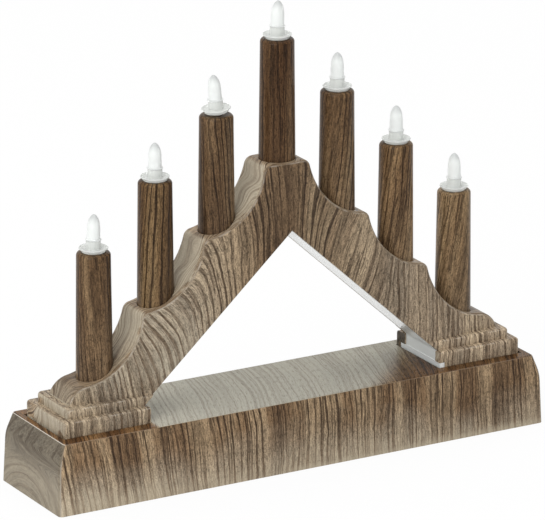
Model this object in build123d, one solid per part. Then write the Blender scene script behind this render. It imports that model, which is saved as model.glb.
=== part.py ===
from build123d import *
import os
from math import atan2, cos, pi, radians, sin, sqrt, tan

os.makedirs("parts", exist_ok=True)

# Battery-lit candle arch: a plinth, a hollow inverted-V arch with stepped shoulders, and seven candles.
# Millimetres. Origin at the middle of the underside, +X along the plinth, +Y to the back, +Z up.

# Plinth
base_length = 220.0
base_depth = 49.0
base_height = 28.5
bevel_height = 20.5
wall_draft_x = 0.7
wall_draft_y = 0.9
bevel_inset_x = 3.5
bevel_inset_y = 2.5
bevel_bend_radius = 20.0
base_wall = 2.0
base_corner_radius = 1.8
base_edge_radius = 0.8

# Arch: inverted V, faces that lean together towards the outer edge
apex_height = 95.25
panel_rise = 6.8
arch_inner_depth = 24.5
face_lean_deg = 8.5
arch_wall = 1.6
arch_edge_radius = 1.6

# Stepped shoulders of the arch
candle_count = 7
candle_pitch = 27.17
ledge_gain = 0.88
crest_rise = 26.65
ledge_reach = 7.6
ledge_slope_deg = 8.0
shoulder_radius = 3.5
dome_radius = 9.3
dome_run = 0.7

# Feet
foot_inner_x = 65.9
foot_outer_x = 103.4
foot_depth = 33.0
foot_low_height = 6.2
foot_top_height = 3.8
foot_step = 3.2
foot_corner_radius = 3.2
foot_edge_radius = 1.2
foot_overhang = 0.3
foot_fit = 0.3
foot_end_fit = 0.7
pocket_depth = 2.0

# White liner
liner_thickness = 1.6
liner_fit = 0.1
panel_inset = 0.3
panel_shift = 1.4
flange_height = 1.8
flange_lip = 2.0
flange_corner_radius = 1.4
liner_cove_radius = 2.0
arch_boss_radius = 3.0
arch_boss_height = 4.2
arch_screw_offset = 9.5
arch_screw_y = 6.0
wire_hole_radius = 3.0

# Candles
seat_sink = 2.8
third_candle_sink = 2.2
sixth_candle_sink = 1.0
candle_length = 51.5
candle_foot_radius = 7.3
candle_top_radius = 6.75
candle_round = 1.5
candle_bore_radius = 5.2
candle_cap_thickness = 1.8
spigot_radius = 4.6
spigot_length = 4.0
spigot_bore_radius = 3.4
socket_fit = 0.12

# Light fittings, heights above the candle's top
collar_foot_radius = 4.8
collar_rim_radius = 5.8
collar_rim_height = 1.7
collar_lip = 0.5
collar_dish_height = 0.8
neck_radius = 2.9
neck_height = 4.6
stem_radius = 2.4
stem_length = 3.0
stem_fit = 0.05
lead_bore_radius = 1.8
ring_radius = 3.05
ring_height = 0.6
flame_height = 9.8
flame_radius = 2.62
flame_shoulder_radius = 2.35
flame_shoulder_height = 5.6
flame_tip_radius = 1.2
flame_bore_radius = 1.65
lamp_radius = 1.5
lamp_fit = 0.1
lamp_length = 5.0
lamp_lead_size = 0.5
lamp_lead_pitch = 2.54
lamp_lead_length = 12.0

# Bottom cover and its screws
cover_recess = 1.8
cover_thickness = 2.2
cover_gap = 0.4
cover_corner_radius = 1.0
post_radius = 3.2
post_y = 12.0
screw_shank_radius = 1.1
screw_fit = 0.06
screw_hole_radius = 1.6
screw_head_radius = 2.5
screw_head_height = 1.1
screw_bite = 7.0
counterbore_radius = 2.9
counterbore_depth = 1.2

# Battery bay, for two AA cells side by side
cell_radius = 7.15
cell_length = 49.2
cell_edge_radius = 0.6
cell_nub_radius = 2.75
cell_nub_length = 1.2
cell_gap = 0.6
bay_play = 0.4
spring_length = 4.6
spring_radius = 3.2
spring_tip_radius = 2.4
spring_wire_radius = 0.4
spring_turns = 3
contact_thickness = 0.4
contact_width = 11.0
contact_height = 11.0
bay_wall = 2.6
door_ledge = 1.2
door_gap = 0.35
hook_width = 5.0
hook_reach = 1.2
hook_height = 1.2
hook_gap = 0.2
hook_y = 8.0
hook_slot_height = 3.0
latch_width = 3.2
latch_thickness = 1.2
latch_height = 4.0
latch_gap = 0.6
thumb_length = 12.0
thumb_radius = 1.6
thumb_margin = 5.0

# Slide switch
switch_x = 48.0
switch_length = 14.0
switch_depth = 7.0
switch_height = 6.0
ear_length = 23.0
ear_thickness = 0.6
stake_spacing = 19.0
stake_radius = 0.95
stake_height = 1.6
stake_fit = 0.05
slider_length = 4.0
slider_depth = 3.4
slider_proud = 1.3
slider_flange = 1.4
slider_flange_height = 1.2
slider_travel = 4.0
slider_gap = 0.3

# Circuit board
board_x = -50.0
board_length = 24.0
board_depth = 16.0
board_thickness = 1.6
standoff_radius = 2.0
standoff_height = 3.0
standoff_inset = 3.0
resistor_radius = 1.15
resistor_length = 6.0
resistor_gap = 2.0

# Wiring inside the arch
wire_radius = 1.2
wire_knot_radius = 1.5
wire_start_x = -58.0
wire_low_height = 17.0
wire_foot_height = 32.0
wire_apex_rise = 7.0

# One overrun serves all cuts
overrun = 1.0

# Worked out from the sizes above
leg_slope = atan2(apex_height - base_height - panel_rise, foot_inner_x)
seat_drop = candle_pitch * tan(leg_slope)
ledge_drop = seat_drop + ledge_gain
top_ledge_height = apex_height + crest_rise
top_seat_height = top_ledge_height - seat_sink
face_lean = tan(radians(face_lean_deg))
foot_center_x = (foot_inner_x + foot_outer_x) / 2
foot_length = foot_outer_x - foot_inner_x
foot_low_top = base_height + foot_low_height
foot_top = foot_low_top + foot_top_height
pocket_floor = base_height - pocket_depth
pocket_underside = pocket_floor - base_wall
cover_top = cover_recess + cover_thickness
shell_end_x = foot_inner_x - foot_overhang
panel_x = foot_inner_x + panel_inset
panel_back_x = panel_x + arch_wall
bay_length = cell_length + cell_nub_length + spring_length + 2 * contact_thickness + bay_play
bay_depth = 4 * cell_radius + 3 * cell_gap
bay_height = 2 * cell_radius + 2 * cell_gap
cell_height = cover_top + cell_gap + cell_radius
cell_y = cell_radius + cell_gap / 2
door_half_length = bay_length / 2 + door_ledge - door_gap


def save(part, name):
    """Write one piece to its own file."""
    export_step(part, f"parts/{name}.step")


def block(size_x, size_y, low, high, x=0, y=0):
    """A box centred on x and y that stands between two heights."""
    return Pos(x, y, (low + high) / 2) * Box(size_x, size_y, high - low)


def rod(radius, low, high, x=0, y=0):
    """An upright cylinder between two heights."""
    return Pos(x, y, (low + high) / 2) * Cylinder(radius, high - low)


def turned(points_and_arcs):
    """Revolve a half profile, drawn in radius and height, about the Z axis."""
    return revolve(Plane.XZ * make_face(points_and_arcs), Axis.Z)


def closed_outline(points):
    """Straight edges through the points and back to the first."""
    return Polyline(*points, close=True)


def plinth_profile(half_width, draft, bevel_inset, wall, top):
    """Upright section of the plinth: drafted wall, soft bend, bevel. Drawn in by a wall."""
    bevel_share = (top - bevel_height) / (base_height - bevel_height)
    foot = half_width - wall
    bend = foot - draft
    crest = bend - (bevel_inset - draft) * bevel_share
    right = FilletPolyline((foot, 0), (bend, bevel_height), (crest, top), radius=bevel_bend_radius)
    left = FilletPolyline((-foot, 0), (-bend, bevel_height), (-crest, top), radius=bevel_bend_radius)
    return make_face([right, left, Line((-foot, 0), (foot, 0)), Line((-crest, top), (crest, top))])


def plinth_block(wall, top):
    """The plinth's long profile and end profile carried through each other."""
    ends = plinth_profile(base_length / 2, wall_draft_x, bevel_inset_x, wall, top)
    sides = plinth_profile(base_depth / 2, wall_draft_y, bevel_inset_y, wall, top)
    along_y = extrude(Plane.XZ * ends, base_depth, both=True)
    along_x = extrude(Plane.YZ * sides, base_length, both=True)
    return along_y & along_x


def make_base_housing():
    """Hollow plinth with two foot pockets and four posts for the bottom cover."""
    outer = plinth_block(0, base_height)
    upright = outer.edges().filter_by(lambda edge: abs(edge.tangent_at(0).Z) > sin(pi / 4))
    outer = fillet(upright, base_corner_radius)
    outer = fillet(outer.faces().sort_by(Axis.Z)[-1].edges(), base_edge_radius)
    body = outer - plinth_block(base_wall, base_height - base_wall)
    opening_length = foot_length + 2 * foot_end_fit
    opening_depth = foot_depth + 2 * foot_fit
    for side in (-1, 1):
        x = side * foot_center_x
        body += block(opening_length + 2 * base_wall, opening_depth + 2 * base_wall,
                      pocket_underside, base_height - base_wall / 2, x)
        for y in (-post_y, post_y):
            body += rod(post_radius, cover_top, pocket_underside, x, y)
    for side in (-1, 1):
        x = side * foot_center_x
        body -= block(opening_length, opening_depth, pocket_floor, base_height + overrun, x)
        body -= rod(wire_hole_radius, pocket_underside - overrun, pocket_floor + overrun, x)
        for y in (-post_y, post_y):
            body -= rod(screw_shank_radius + screw_fit, cover_top - overrun, cover_top + screw_bite, x, y)
    for x, y in arch_screw_places():
        body -= rod(screw_hole_radius, pocket_underside - overrun, pocket_floor + overrun, x, y)
    return body


def arch_screw_places():
    """Two screws in each foot, one towards the front and one towards the back of the wires."""
    return [(side * (foot_center_x + end * arch_screw_offset), end * arch_screw_y)
            for side in (-1, 1) for end in (-1, 1)]


def shoulder_edges(inset):
    """Outer edge of half the arch from the middle to the dome, drawn in by inset.

    Each step is a convex shoulder that runs into a wide cove. Both turn between the same two
    headings, so that one step is exactly one pitch along and one drop down.
    """
    flat = radians(ledge_slope_deg)
    steep = 2 * atan2(ledge_drop, candle_pitch) - flat
    cove_radius = candle_pitch / (sin(steep) - sin(flat)) - shoulder_radius
    convex = shoulder_radius - inset
    concave = cove_radius + inset

    def on_arc(center, radius, heading):
        return (center[0] + radius * sin(heading), center[1] + radius * cos(heading))

    edges = []
    steps = candle_count // 2
    for step in range(steps):
        start = (step * candle_pitch + ledge_reach, top_ledge_height - step * ledge_drop)
        center = on_arc(start, -shoulder_radius, flat)
        first = flat if step else 0
        if not step:
            crest = on_arc(center, convex, first)
            edges.append(Line((0, crest[1]), crest))
        edges.append(ThreePointArc(on_arc(center, convex, first),
                                   on_arc(center, convex, (first + steep) / 2),
                                   on_arc(center, convex, steep)))
        turn = on_arc(on_arc(center, shoulder_radius, steep), cove_radius, steep)
        edges.append(ThreePointArc(on_arc(turn, -concave, steep),
                                   on_arc(turn, -concave, (steep + flat) / 2),
                                   on_arc(turn, -concave, flat)))
    start = (steps * candle_pitch + ledge_reach, top_ledge_height - steps * ledge_drop)
    run_end = (start[0] + dome_run * cos(flat), start[1] - dome_run * sin(flat))
    center = on_arc(run_end, -dome_radius, flat)
    round_over = dome_radius - inset
    dome_start = on_arc(center, round_over, flat)
    edges.append(Line(edges[-1] @ 1, dome_start))
    edges.append(ThreePointArc(dome_start,
                               on_arc(center, round_over, (flat + pi / 2) / 2),
                               on_arc(center, round_over, pi / 2)))
    return edges


def leg_prism(inset):
    """Long wedge along one leg that gives the arch its leaning front and back faces."""
    reach = top_ledge_height - apex_height
    half = arch_inner_depth / 2 - inset * sqrt(1 + face_lean ** 2)
    low = -reach
    high = 2 * reach
    section = closed_outline([(-half + face_lean * low, low), (half - face_lean * low, low),
                              (half - face_lean * high, high), (-half + face_lean * high, high)])
    along = Plane(origin=(0, 0, apex_height), x_dir=(0, 1, 0), z_dir=(cos(leg_slope), 0, -sin(leg_slope)))
    return extrude(along * make_face(section), base_length, both=True)


def leg_x(height):
    """How far from the middle the arch's inner edge lies at a height."""
    return (apex_height - height) / tan(leg_slope)


def half_arch(inset, bottom, inner_rise):
    """One half of the arch as a solid: shoulders outside, straight inner edge below."""
    edges = shoulder_edges(inset)
    crest = edges[0] @ 0
    dome_end = edges[-1] @ 1
    inner_apex = (0, apex_height - inner_rise)
    inner_end = (leg_x(bottom + inner_rise), bottom)
    edges.append(Polyline((dome_end.X, dome_end.Y), (dome_end.X, bottom), inner_end, inner_apex,
                          (crest.X, crest.Y)))
    solid = extrude(Plane.XZ * make_face(edges), base_depth, both=True)
    return solid & leg_prism(inset)


def leg_distance(point):
    """Distance of a point from the leg's inner edge, across the leg."""
    return (point.Z - apex_height + tan(leg_slope) * point.X) * cos(leg_slope)


def soften(half):
    """Round the front and back edges of the stepped shoulders."""
    def on_shoulder(edge):
        middle = edge @ (1 / 2)
        along_y = abs(edge.tangent_at(1 / 2).Y) > abs(sin(pi / 4))
        clear_of_apex = middle.X > arch_edge_radius and leg_distance(middle) > arch_wall
        return clear_of_apex and middle.Z > foot_low_top + arch_edge_radius and not along_y
    return fillet(half.edges().filter_by(on_shoulder), arch_edge_radius)


def foot_block(inner_x, outer_x, depth, low, high):
    """One stepped tier of the right foot: rounded outer corners, soft top edge, square inner end."""
    start_x = inner_x - 2 * foot_corner_radius
    outline = RectangleRounded(outer_x - start_x, depth, foot_corner_radius - foot_edge_radius)
    tier = extrude(Pos((start_x + outer_x) / 2, 0, low) * outline, high - low)
    tier = fillet(tier.faces().sort_by(Axis.Z)[-1].edges(), foot_edge_radius)
    return tier & block(outer_x - inner_x, depth, low, high, (inner_x + outer_x) / 2)


def both_sides(part):
    """A piece of the right half joined with its mirror image."""
    return part + mirror(part, about=Plane.YZ)


def both_ends(part):
    """A piece of the right foot joined with the same piece turned half round for the left foot."""
    return part + Rot(0, 0, 180) * part


def candle_places():
    """Place along X and seat height of each candle, from left to right."""
    middle = candle_count // 2
    places = []
    for number in range(1, candle_count + 1):
        from_middle = number - 1 - middle
        sink = {3: third_candle_sink, 6: sixth_candle_sink}.get(number, 0)
        places.append((from_middle * candle_pitch, top_seat_height - abs(from_middle) * seat_drop - sink))
    return places


def make_arch_shell():
    """Hollow arch with stepped feet, open below, with a round socket for each candle."""
    leg = soften(half_arch(0, pocket_floor, 0))
    above_inner_edge = half_arch_space()
    low_tier = foot_block(shell_end_x, foot_outer_x, foot_depth, pocket_floor, foot_low_top)
    top_tier = foot_block(shell_end_x - 2 * foot_step, foot_outer_x - foot_step, foot_depth - 2 * foot_step,
                          foot_low_top - overrun, foot_top)
    right = leg + low_tier + (top_tier & above_inner_edge)
    outer = both_sides(right)

    hollow = half_arch(arch_wall, pocket_floor - overrun, overrun)
    inner_length = foot_outer_x - shell_end_x - 2 * arch_wall
    inner_x = (foot_outer_x + shell_end_x) / 2
    hollow += block(inner_length, foot_depth - 2 * arch_wall, pocket_floor - overrun,
                    foot_low_top - arch_wall, inner_x)
    hollow += block(inner_length - foot_step, foot_depth - 2 * (foot_step + arch_wall),
                    foot_low_top - 2 * arch_wall, foot_top - arch_wall, inner_x - foot_step / 2)
    panel_reach = panel_back_x + liner_fit - shell_end_x
    panel_width = 2 * (liner_half_width() + panel_shift + liner_fit)
    notch = block(2 * panel_reach, panel_width, pocket_floor - overrun, foot_low_top,
                  shell_end_x, -panel_shift)
    lip_reach = foot_inner_x + flange_lip + liner_fit - shell_end_x
    notch += block(2 * lip_reach, foot_depth - arch_wall + overrun, pocket_floor - overrun,
                   base_height + flange_height + liner_fit, shell_end_x, -(arch_wall + overrun) / 2)
    hollow = both_sides(hollow) + both_ends(notch)
    socket = candle_foot_radius + socket_fit
    for x, seat in candle_places():
        hollow -= rod(socket + arch_wall, seat - arch_wall, seat + candle_length, x)
    shell = outer - hollow
    for x, seat in candle_places():
        shell -= rod(socket, seat, seat + candle_length, x)
        shell -= rod(spigot_radius + socket_fit, seat - arch_wall - overrun, seat + overrun, x)
    return shell


def half_arch_space():
    """Everything on the outer side of the right leg's inner edge."""
    far = base_length
    edge_low = (leg_x(0), 0)
    outline = closed_outline([edge_low, (0, apex_height), (0, far), (far, far), (far, 0)])
    return extrude(Plane.XZ * make_face(outline), base_depth, both=True)


def liner_half_width():
    """Half the width of the strip that fits between the arch's walls."""
    wall_across = arch_wall * sqrt(1 + face_lean ** 2)
    return arch_inner_depth / 2 - wall_across - face_lean * liner_thickness - liner_fit


def make_arch_liner():
    """White strip under both legs with an end panel, a foot plate and screw bosses at each foot."""
    corner_height = apex_height - panel_x * tan(leg_slope)
    flange_top = base_height + flange_height
    inner_rise = liner_thickness / cos(leg_slope)
    back_height = apex_height + inner_rise - panel_back_x * tan(leg_slope)
    outline = closed_outline([(0, apex_height), (panel_x, corner_height), (panel_x, pocket_floor),
                              (panel_back_x, pocket_floor), (panel_back_x, back_height),
                              (0, apex_height + inner_rise)])
    strip = extrude(Plane.XZ * make_face(outline), liner_half_width(), both=True)
    corner = strip.edges().filter_by(Axis.Y).sort_by_distance((panel_x, 0, corner_height))[0]
    half = fillet(corner, liner_cove_radius)
    wall_room = arch_wall + liner_fit
    plate_start = foot_inner_x + flange_lip / 2
    plate_length = foot_outer_x - wall_room - plate_start
    plate_x = plate_start + plate_length / 2
    half += block(plate_length, foot_depth - 2 * wall_room, pocket_floor, flange_top, plate_x)
    half -= rod(wire_hole_radius, pocket_floor - overrun, flange_top + overrun, foot_center_x)
    panel = block(arch_wall, 2 * (liner_half_width() + panel_shift), pocket_floor, foot_low_top - liner_fit,
                  (panel_x + panel_back_x) / 2, -panel_shift)
    lip = block(flange_lip, foot_depth - wall_room, pocket_floor, flange_top,
                foot_inner_x + flange_lip / 2, -wall_room / 2)
    lip_corners = lip.edges().filter_by(Axis.Z).group_by(Axis.X)[0]
    liner = both_sides(half) + both_ends(panel + fillet(lip_corners, flange_corner_radius))
    for x, y in arch_screw_places():
        liner += rod(arch_boss_radius, flange_top, flange_top + arch_boss_height, x, y)
    for x, y in arch_screw_places():
        liner -= rod(screw_shank_radius + screw_fit, pocket_floor - overrun, pocket_floor + screw_bite, x, y)
    return liner


def make_candle(x, seat):
    """Tapered hollow candle tube with a rounded top and a spigot below."""
    top = candle_length
    shoulder = top - candle_round
    arc_share = sin(pi / 4)
    arc_x = candle_top_radius - candle_round + candle_round * arc_share
    arc_z = shoulder + candle_round * arc_share
    round_top = ThreePointArc((candle_top_radius, shoulder), (arc_x, arc_z),
                              (candle_top_radius - candle_round, top))
    rest = Polyline((candle_top_radius - candle_round, top), (stem_radius + stem_fit, top),
                    (stem_radius + stem_fit, top - candle_cap_thickness),
                    (candle_bore_radius, top - candle_cap_thickness), (candle_bore_radius, arch_wall),
                    (spigot_bore_radius, arch_wall), (spigot_bore_radius, -spigot_length),
                    (spigot_radius, -spigot_length), (spigot_radius, 0), (candle_foot_radius, 0),
                    (candle_top_radius, shoulder))
    return Pos(x, 0, seat) * turned([round_top, rest])


def make_drip_collar(x, seat):
    """Clear dished collar with a neck above and a hollow stem that plugs into the candle."""
    outline = closed_outline([(lead_bore_radius, -stem_length), (stem_radius, -stem_length),
                              (stem_radius, 0), (collar_foot_radius, 0),
                              (collar_rim_radius, collar_rim_height),
                              (collar_rim_radius - collar_lip, collar_rim_height),
                              (neck_radius, collar_dish_height), (neck_radius, neck_height),
                              (lead_bore_radius, neck_height)])
    return Pos(x, 0, seat + candle_length) * turned(outline)


def make_flame_cap(x, seat):
    """Frosted flame with a ring at its foot, hollow for the lamp."""
    low = neck_height
    ring_top = low + ring_height
    tip = ring_top + flame_height
    shoulder = (flame_shoulder_radius, ring_top + flame_shoulder_height)
    tip_share = sin(pi / 4)
    tip_start = (flame_tip_radius * tip_share, tip - flame_tip_radius * (1 - tip_share))
    side = Spline((flame_radius, ring_top), shoulder, tip_start,
                  tangents=((0, 1), (-tip_share, tip_share)))
    crown_middle = (flame_tip_radius * sin(pi / 8), tip - flame_tip_radius * (1 - cos(pi / 8)))
    crown = ThreePointArc(tip_start, crown_middle, (0, tip))
    bore_top = low + lamp_length + 2 * lamp_fit
    rest = Polyline((0, tip), (0, bore_top), (flame_bore_radius, bore_top), (flame_bore_radius, low),
                    (ring_radius, low), (ring_radius, ring_top), (flame_radius, ring_top))
    return Pos(x, 0, seat + candle_length) * turned([side, crown, rest])


def make_led(x, seat):
    """Small round-nosed lamp with two straight leads."""
    low = neck_height + lamp_fit
    high = low + lamp_length
    dome_base = high - lamp_radius
    dome_share = sin(pi / 4)
    dome_middle = (lamp_radius * dome_share, dome_base + lamp_radius * dome_share)
    dome = ThreePointArc((lamp_radius, dome_base), dome_middle, (0, high))
    rest = Polyline((0, high), (0, low), (lamp_radius, low), (lamp_radius, dome_base))
    lamp = turned([dome, rest])
    for side in (-1, 1):
        lamp += block(lamp_lead_size, lamp_lead_size, low - lamp_lead_length, low + lamp_lead_size,
                      side * lamp_lead_pitch / 2)
    return Pos(x, 0, seat + candle_length) * lamp


def make_wiring_harness():
    """Twin lead from the board up the left foot and along both legs, with a branch to each lamp."""
    apex_node = apex_height + wire_apex_rise
    turn_x = (apex_node - wire_foot_height) / tan(leg_slope)
    last_x = candle_count // 2 * candle_pitch
    board_top = cover_top + standoff_height + board_thickness
    route = [(wire_start_x, board_top), (wire_start_x, wire_low_height), (-foot_center_x, wire_low_height),
             (-foot_center_x, wire_foot_height), (-turn_x, wire_foot_height), (0, apex_node),
             (turn_x, wire_foot_height), (last_x, wire_foot_height)]
    harness = None
    for start, end in zip(route, route[1:]):
        run = Line((start[0], 0, start[1]), (end[0], 0, end[1]))
        tube = extrude(Plane(origin=run @ 0, z_dir=run % 0) * Circle(wire_radius), run.length)
        harness = tube if harness is None else harness + tube
        harness += Pos(end[0], 0, end[1]) * Sphere(wire_knot_radius)
    for x, seat in candle_places():
        lead_end = seat + candle_length + neck_height + lamp_fit - lamp_lead_length
        trunk_height = max(apex_node - tan(leg_slope) * abs(x), wire_foot_height)
        harness += rod(wire_radius, trunk_height, lead_end, x)
    return harness


def make_base_cover():
    """Bottom plate with the battery bay, the switch window, and seats for the switch and board."""
    plate_length = base_length - 2 * (base_wall + cover_gap)
    plate_depth = base_depth - 2 * (base_wall + cover_gap)
    outline = RectangleRounded(plate_length, plate_depth, cover_corner_radius)
    cover = extrude(Pos(0, 0, cover_recess) * outline, cover_thickness)
    bay_top = cover_top + bay_height
    cover += block(bay_length + 2 * bay_wall, bay_depth + 2 * bay_wall, cover_top, bay_top + bay_wall)
    cover -= block(bay_length, bay_depth, cover_recess - overrun, bay_top)
    cover -= block(bay_length + 2 * door_ledge, bay_depth + 2 * door_ledge,
                   cover_recess - overrun, cover_top)
    for y in (-hook_y, hook_y):
        cover -= block(2 * bay_wall + overrun, hook_width + 2 * door_gap,
                       cover_top, cover_top + hook_slot_height, -bay_length / 2 - bay_wall / 2, y)
    for side in (-1, 1):
        for y in (-post_y, post_y):
            x = side * foot_center_x
            cover -= rod(screw_hole_radius, cover_recess - overrun, cover_top + overrun, x, y)
            cover -= rod(counterbore_radius, cover_recess - overrun, cover_recess + counterbore_depth, x, y)
        cover += rod(stake_radius, cover_top, cover_top + stake_height, switch_x + side * stake_spacing / 2)
        for y_side in (-1, 1):
            x = board_x + side * (board_length / 2 - standoff_inset)
            y = y_side * (board_depth / 2 - standoff_inset)
            board_under = cover_top + standoff_height
            cover += rod(standoff_radius, cover_top, board_under, x, y)
            cover += rod(stake_radius, board_under, board_under + board_thickness + stake_height / 2, x, y)
    cover -= block(slider_length + slider_travel + 2 * slider_gap, slider_depth + 2 * slider_gap,
                   cover_recess - overrun, cover_top + overrun, switch_x)
    return cover


def make_battery_door():
    """Flush door with two hooks at one end, a latch tongue at the other and a thumb groove."""
    length = 2 * door_half_length
    depth = bay_depth + 2 * (door_ledge - door_gap)
    door = block(length, depth, cover_recess, cover_top)
    for y in (-hook_y, hook_y):
        inner_x = -bay_length / 2 + hook_reach
        tip_x = -door_half_length - hook_reach
        hook_low = cover_top + hook_gap
        hook_top = hook_low + hook_height
        door += block(inner_x + door_half_length, hook_width, cover_top - hook_gap, hook_top,
                      (inner_x - door_half_length) / 2, y)
        door += block(inner_x - tip_x, hook_width, hook_low, hook_top, (inner_x + tip_x) / 2, y)
    latch_x = bay_length / 2 - latch_gap - latch_thickness / 2
    door += block(latch_thickness, latch_width, cover_top, cover_top + latch_height, latch_x)
    groove = Rot(90, 0, 0) * Cylinder(thumb_radius, thumb_length)
    door -= Pos(door_half_length - thumb_margin, 0, cover_recess - thumb_radius / 2) * groove
    return door


def make_battery(side):
    """AA cell with its positive nub towards the given side of the bay."""
    edge = cell_length - cell_edge_radius
    nub_top = cell_length + cell_nub_length
    outline = closed_outline([(0, 0), (cell_radius - cell_edge_radius, 0), (cell_radius, cell_edge_radius),
                              (cell_radius, edge), (cell_radius - cell_edge_radius, cell_length),
                              (cell_nub_radius, cell_length), (cell_nub_radius, nub_top), (0, nub_top)])
    nub_end = bay_length / 2 - contact_thickness - bay_play / 2
    start_x = side * (nub_end - cell_length - cell_nub_length)
    along = Plane(origin=(start_x, side * cell_y, cell_height), x_dir=(0, 1, 0), z_dir=(side, 0, 0))
    return along * turned(outline)


def contact_plate(side, width, y):
    """Thin stamped plate flat against one end of the bay."""
    x = side * (bay_length / 2 - contact_thickness / 2)
    low = cell_height - contact_height / 2
    return block(contact_thickness, width, low, low + contact_height, x, y)


def make_contact_spring(side):
    """Tapered wire spring behind a cell's flat end, one tube along half-turn arcs."""
    halves = 2 * spring_turns
    axial = spring_length - 2 * spring_wire_radius

    def place(half_turns):
        share = half_turns / halves
        radius = spring_radius + (spring_tip_radius - spring_radius) * share
        angle = pi * half_turns
        return (radius * cos(angle), radius * sin(angle), spring_wire_radius + axial * share)

    arcs = [ThreePointArc(place(n), place(n + 1 / 2), place(n + 1)) for n in range(halves)]
    path = Wire(arcs)
    wire = sweep(Plane(origin=path @ 0, z_dir=path % 0) * Circle(spring_wire_radius), path=path)
    base_x = -side * (bay_length / 2 - contact_thickness)
    seat = Plane(origin=(base_x, side * cell_y, cell_height), x_dir=(0, 1, 0), z_dir=(side, 0, 0))
    return seat * wire


def make_switch_body():
    """Slide switch housing with two ears, hollow where the slider runs."""
    body = block(switch_length, switch_depth, cover_top, cover_top + switch_height, switch_x)
    body += block(ear_length, switch_depth, cover_top, cover_top + ear_thickness, switch_x)
    for side in (-1, 1):
        body -= rod(stake_radius + stake_fit, cover_top - overrun, cover_top + ear_thickness + overrun,
                    switch_x + side * stake_spacing / 2)
    neck_top = cover_top + ear_thickness
    body -= block(slider_length + slider_travel + 2 * slider_gap, slider_depth + 2 * slider_gap,
                  cover_top - overrun, neck_top + overrun, switch_x)
    cavity_length = slider_length + 2 * slider_flange + slider_travel + 2 * slider_gap
    body -= block(cavity_length, slider_depth + 2 * slider_flange + 2 * slider_gap, neck_top,
                  neck_top + slider_flange_height + 2 * slider_gap, switch_x)
    return body


def make_switch_slider():
    """Thumb piece of the switch in the off place, with the flange that keeps it in."""
    x = switch_x - slider_travel / 2
    flange_low = cover_top + ear_thickness + slider_gap
    flange_high = flange_low + slider_flange_height
    slider = block(slider_length, slider_depth, cover_recess - slider_proud, flange_high, x)
    slider += block(slider_length + 2 * slider_flange, slider_depth + 2 * slider_flange,
                    flange_low, flange_high, x)
    return slider


def make_circuit_board():
    """Small board on four staked standoffs."""
    low = cover_top + standoff_height
    board = block(board_length, board_depth, low, low + board_thickness, board_x)
    for side in (-1, 1):
        for y_side in (-1, 1):
            x = board_x + side * (board_length / 2 - standoff_inset)
            y = y_side * (board_depth / 2 - standoff_inset)
            board -= rod(stake_radius + stake_fit, low - overrun, low + board_thickness + overrun, x, y)
    return board


def make_board_resistors():
    """Two resistors lying on the board."""
    top = cover_top + standoff_height + board_thickness
    lying = Rot(0, 90, 0) * Cylinder(resistor_radius, resistor_length)
    spacing = resistor_radius + resistor_gap / 2
    x = board_x + resistor_length / 2
    return Compound(children=[Pos(x, side * spacing, top + resistor_radius) * lying for side in (-1, 1)])


def make_screw(x, y, head_low, head_high, length):
    """Pan-head screw pointing up, its head between two heights."""
    screw = rod(screw_head_radius, head_low, head_high, x, y)
    return screw + rod(screw_shank_radius, head_high, head_high + length, x, y)


def make_arch_screws():
    """Four screws from inside the plinth up into the liner's bosses."""
    head_low = pocket_underside - screw_head_height
    length = base_wall + screw_bite - screw_head_height
    return Compound(children=[make_screw(x, y, head_low, pocket_underside, length)
                              for x, y in arch_screw_places()])


def make_cover_screws():
    """Four screws through the bottom cover into the plinth's posts."""
    head_high = cover_recess + counterbore_depth
    length = cover_top - head_high + screw_bite - screw_head_height
    screws = [make_screw(side * foot_center_x, y, head_high - screw_head_height, head_high, length)
              for side in (-1, 1) for y in (-post_y, post_y)]
    return Compound(children=screws)


save(make_base_housing(), "base_housing")
save(make_arch_shell(), "arch_shell")
save(make_arch_liner(), "arch_liner")
for number, (candle_x, candle_seat) in enumerate(candle_places(), 1):
    save(make_candle(candle_x, candle_seat), f"candle_{number}")
    save(make_drip_collar(candle_x, candle_seat), f"drip_collar_{number}")
    save(make_flame_cap(candle_x, candle_seat), f"flame_cap_{number}")
    save(make_led(candle_x, candle_seat), f"led_{number}")
save(make_wiring_harness(), "wiring_harness")
save(make_base_cover(), "base_cover")
save(make_battery_door(), "battery_door")
save(make_battery(1), "battery_1")
save(make_battery(-1), "battery_2")
save(make_contact_spring(1), "contact_spring_1")
save(make_contact_spring(-1), "contact_spring_2")
save(contact_plate(-1, 2 * cell_y + contact_width, 0), "contact_bridge")
save(contact_plate(1, contact_width, cell_y), "contact_positive")
save(contact_plate(1, contact_width, -cell_y), "contact_negative")
save(make_switch_body(), "switch_body")
save(make_switch_slider(), "switch_slider")
save(make_circuit_board(), "circuit_board")
save(make_board_resistors(), "board_resistors")
save(make_arch_screws(), "arch_screws")
save(make_cover_screws(), "cover_screws")
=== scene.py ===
# %% [markdown]
# # A candle arch, dressed in Blender
# The object is a small battery candle arch: a long plinth, a hollow arch with stepped shoulders, and seven
# candle tubes with clear light fittings. The brown parts are plastic with a printed walnut film. The packed
# CAD model is the frame: it holds every solid in its place, in metres, and this lesson gives it its looks.

# %% Load the frame
import math
import bmesh
import bpy
import numpy as np
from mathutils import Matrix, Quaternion, Vector


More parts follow.
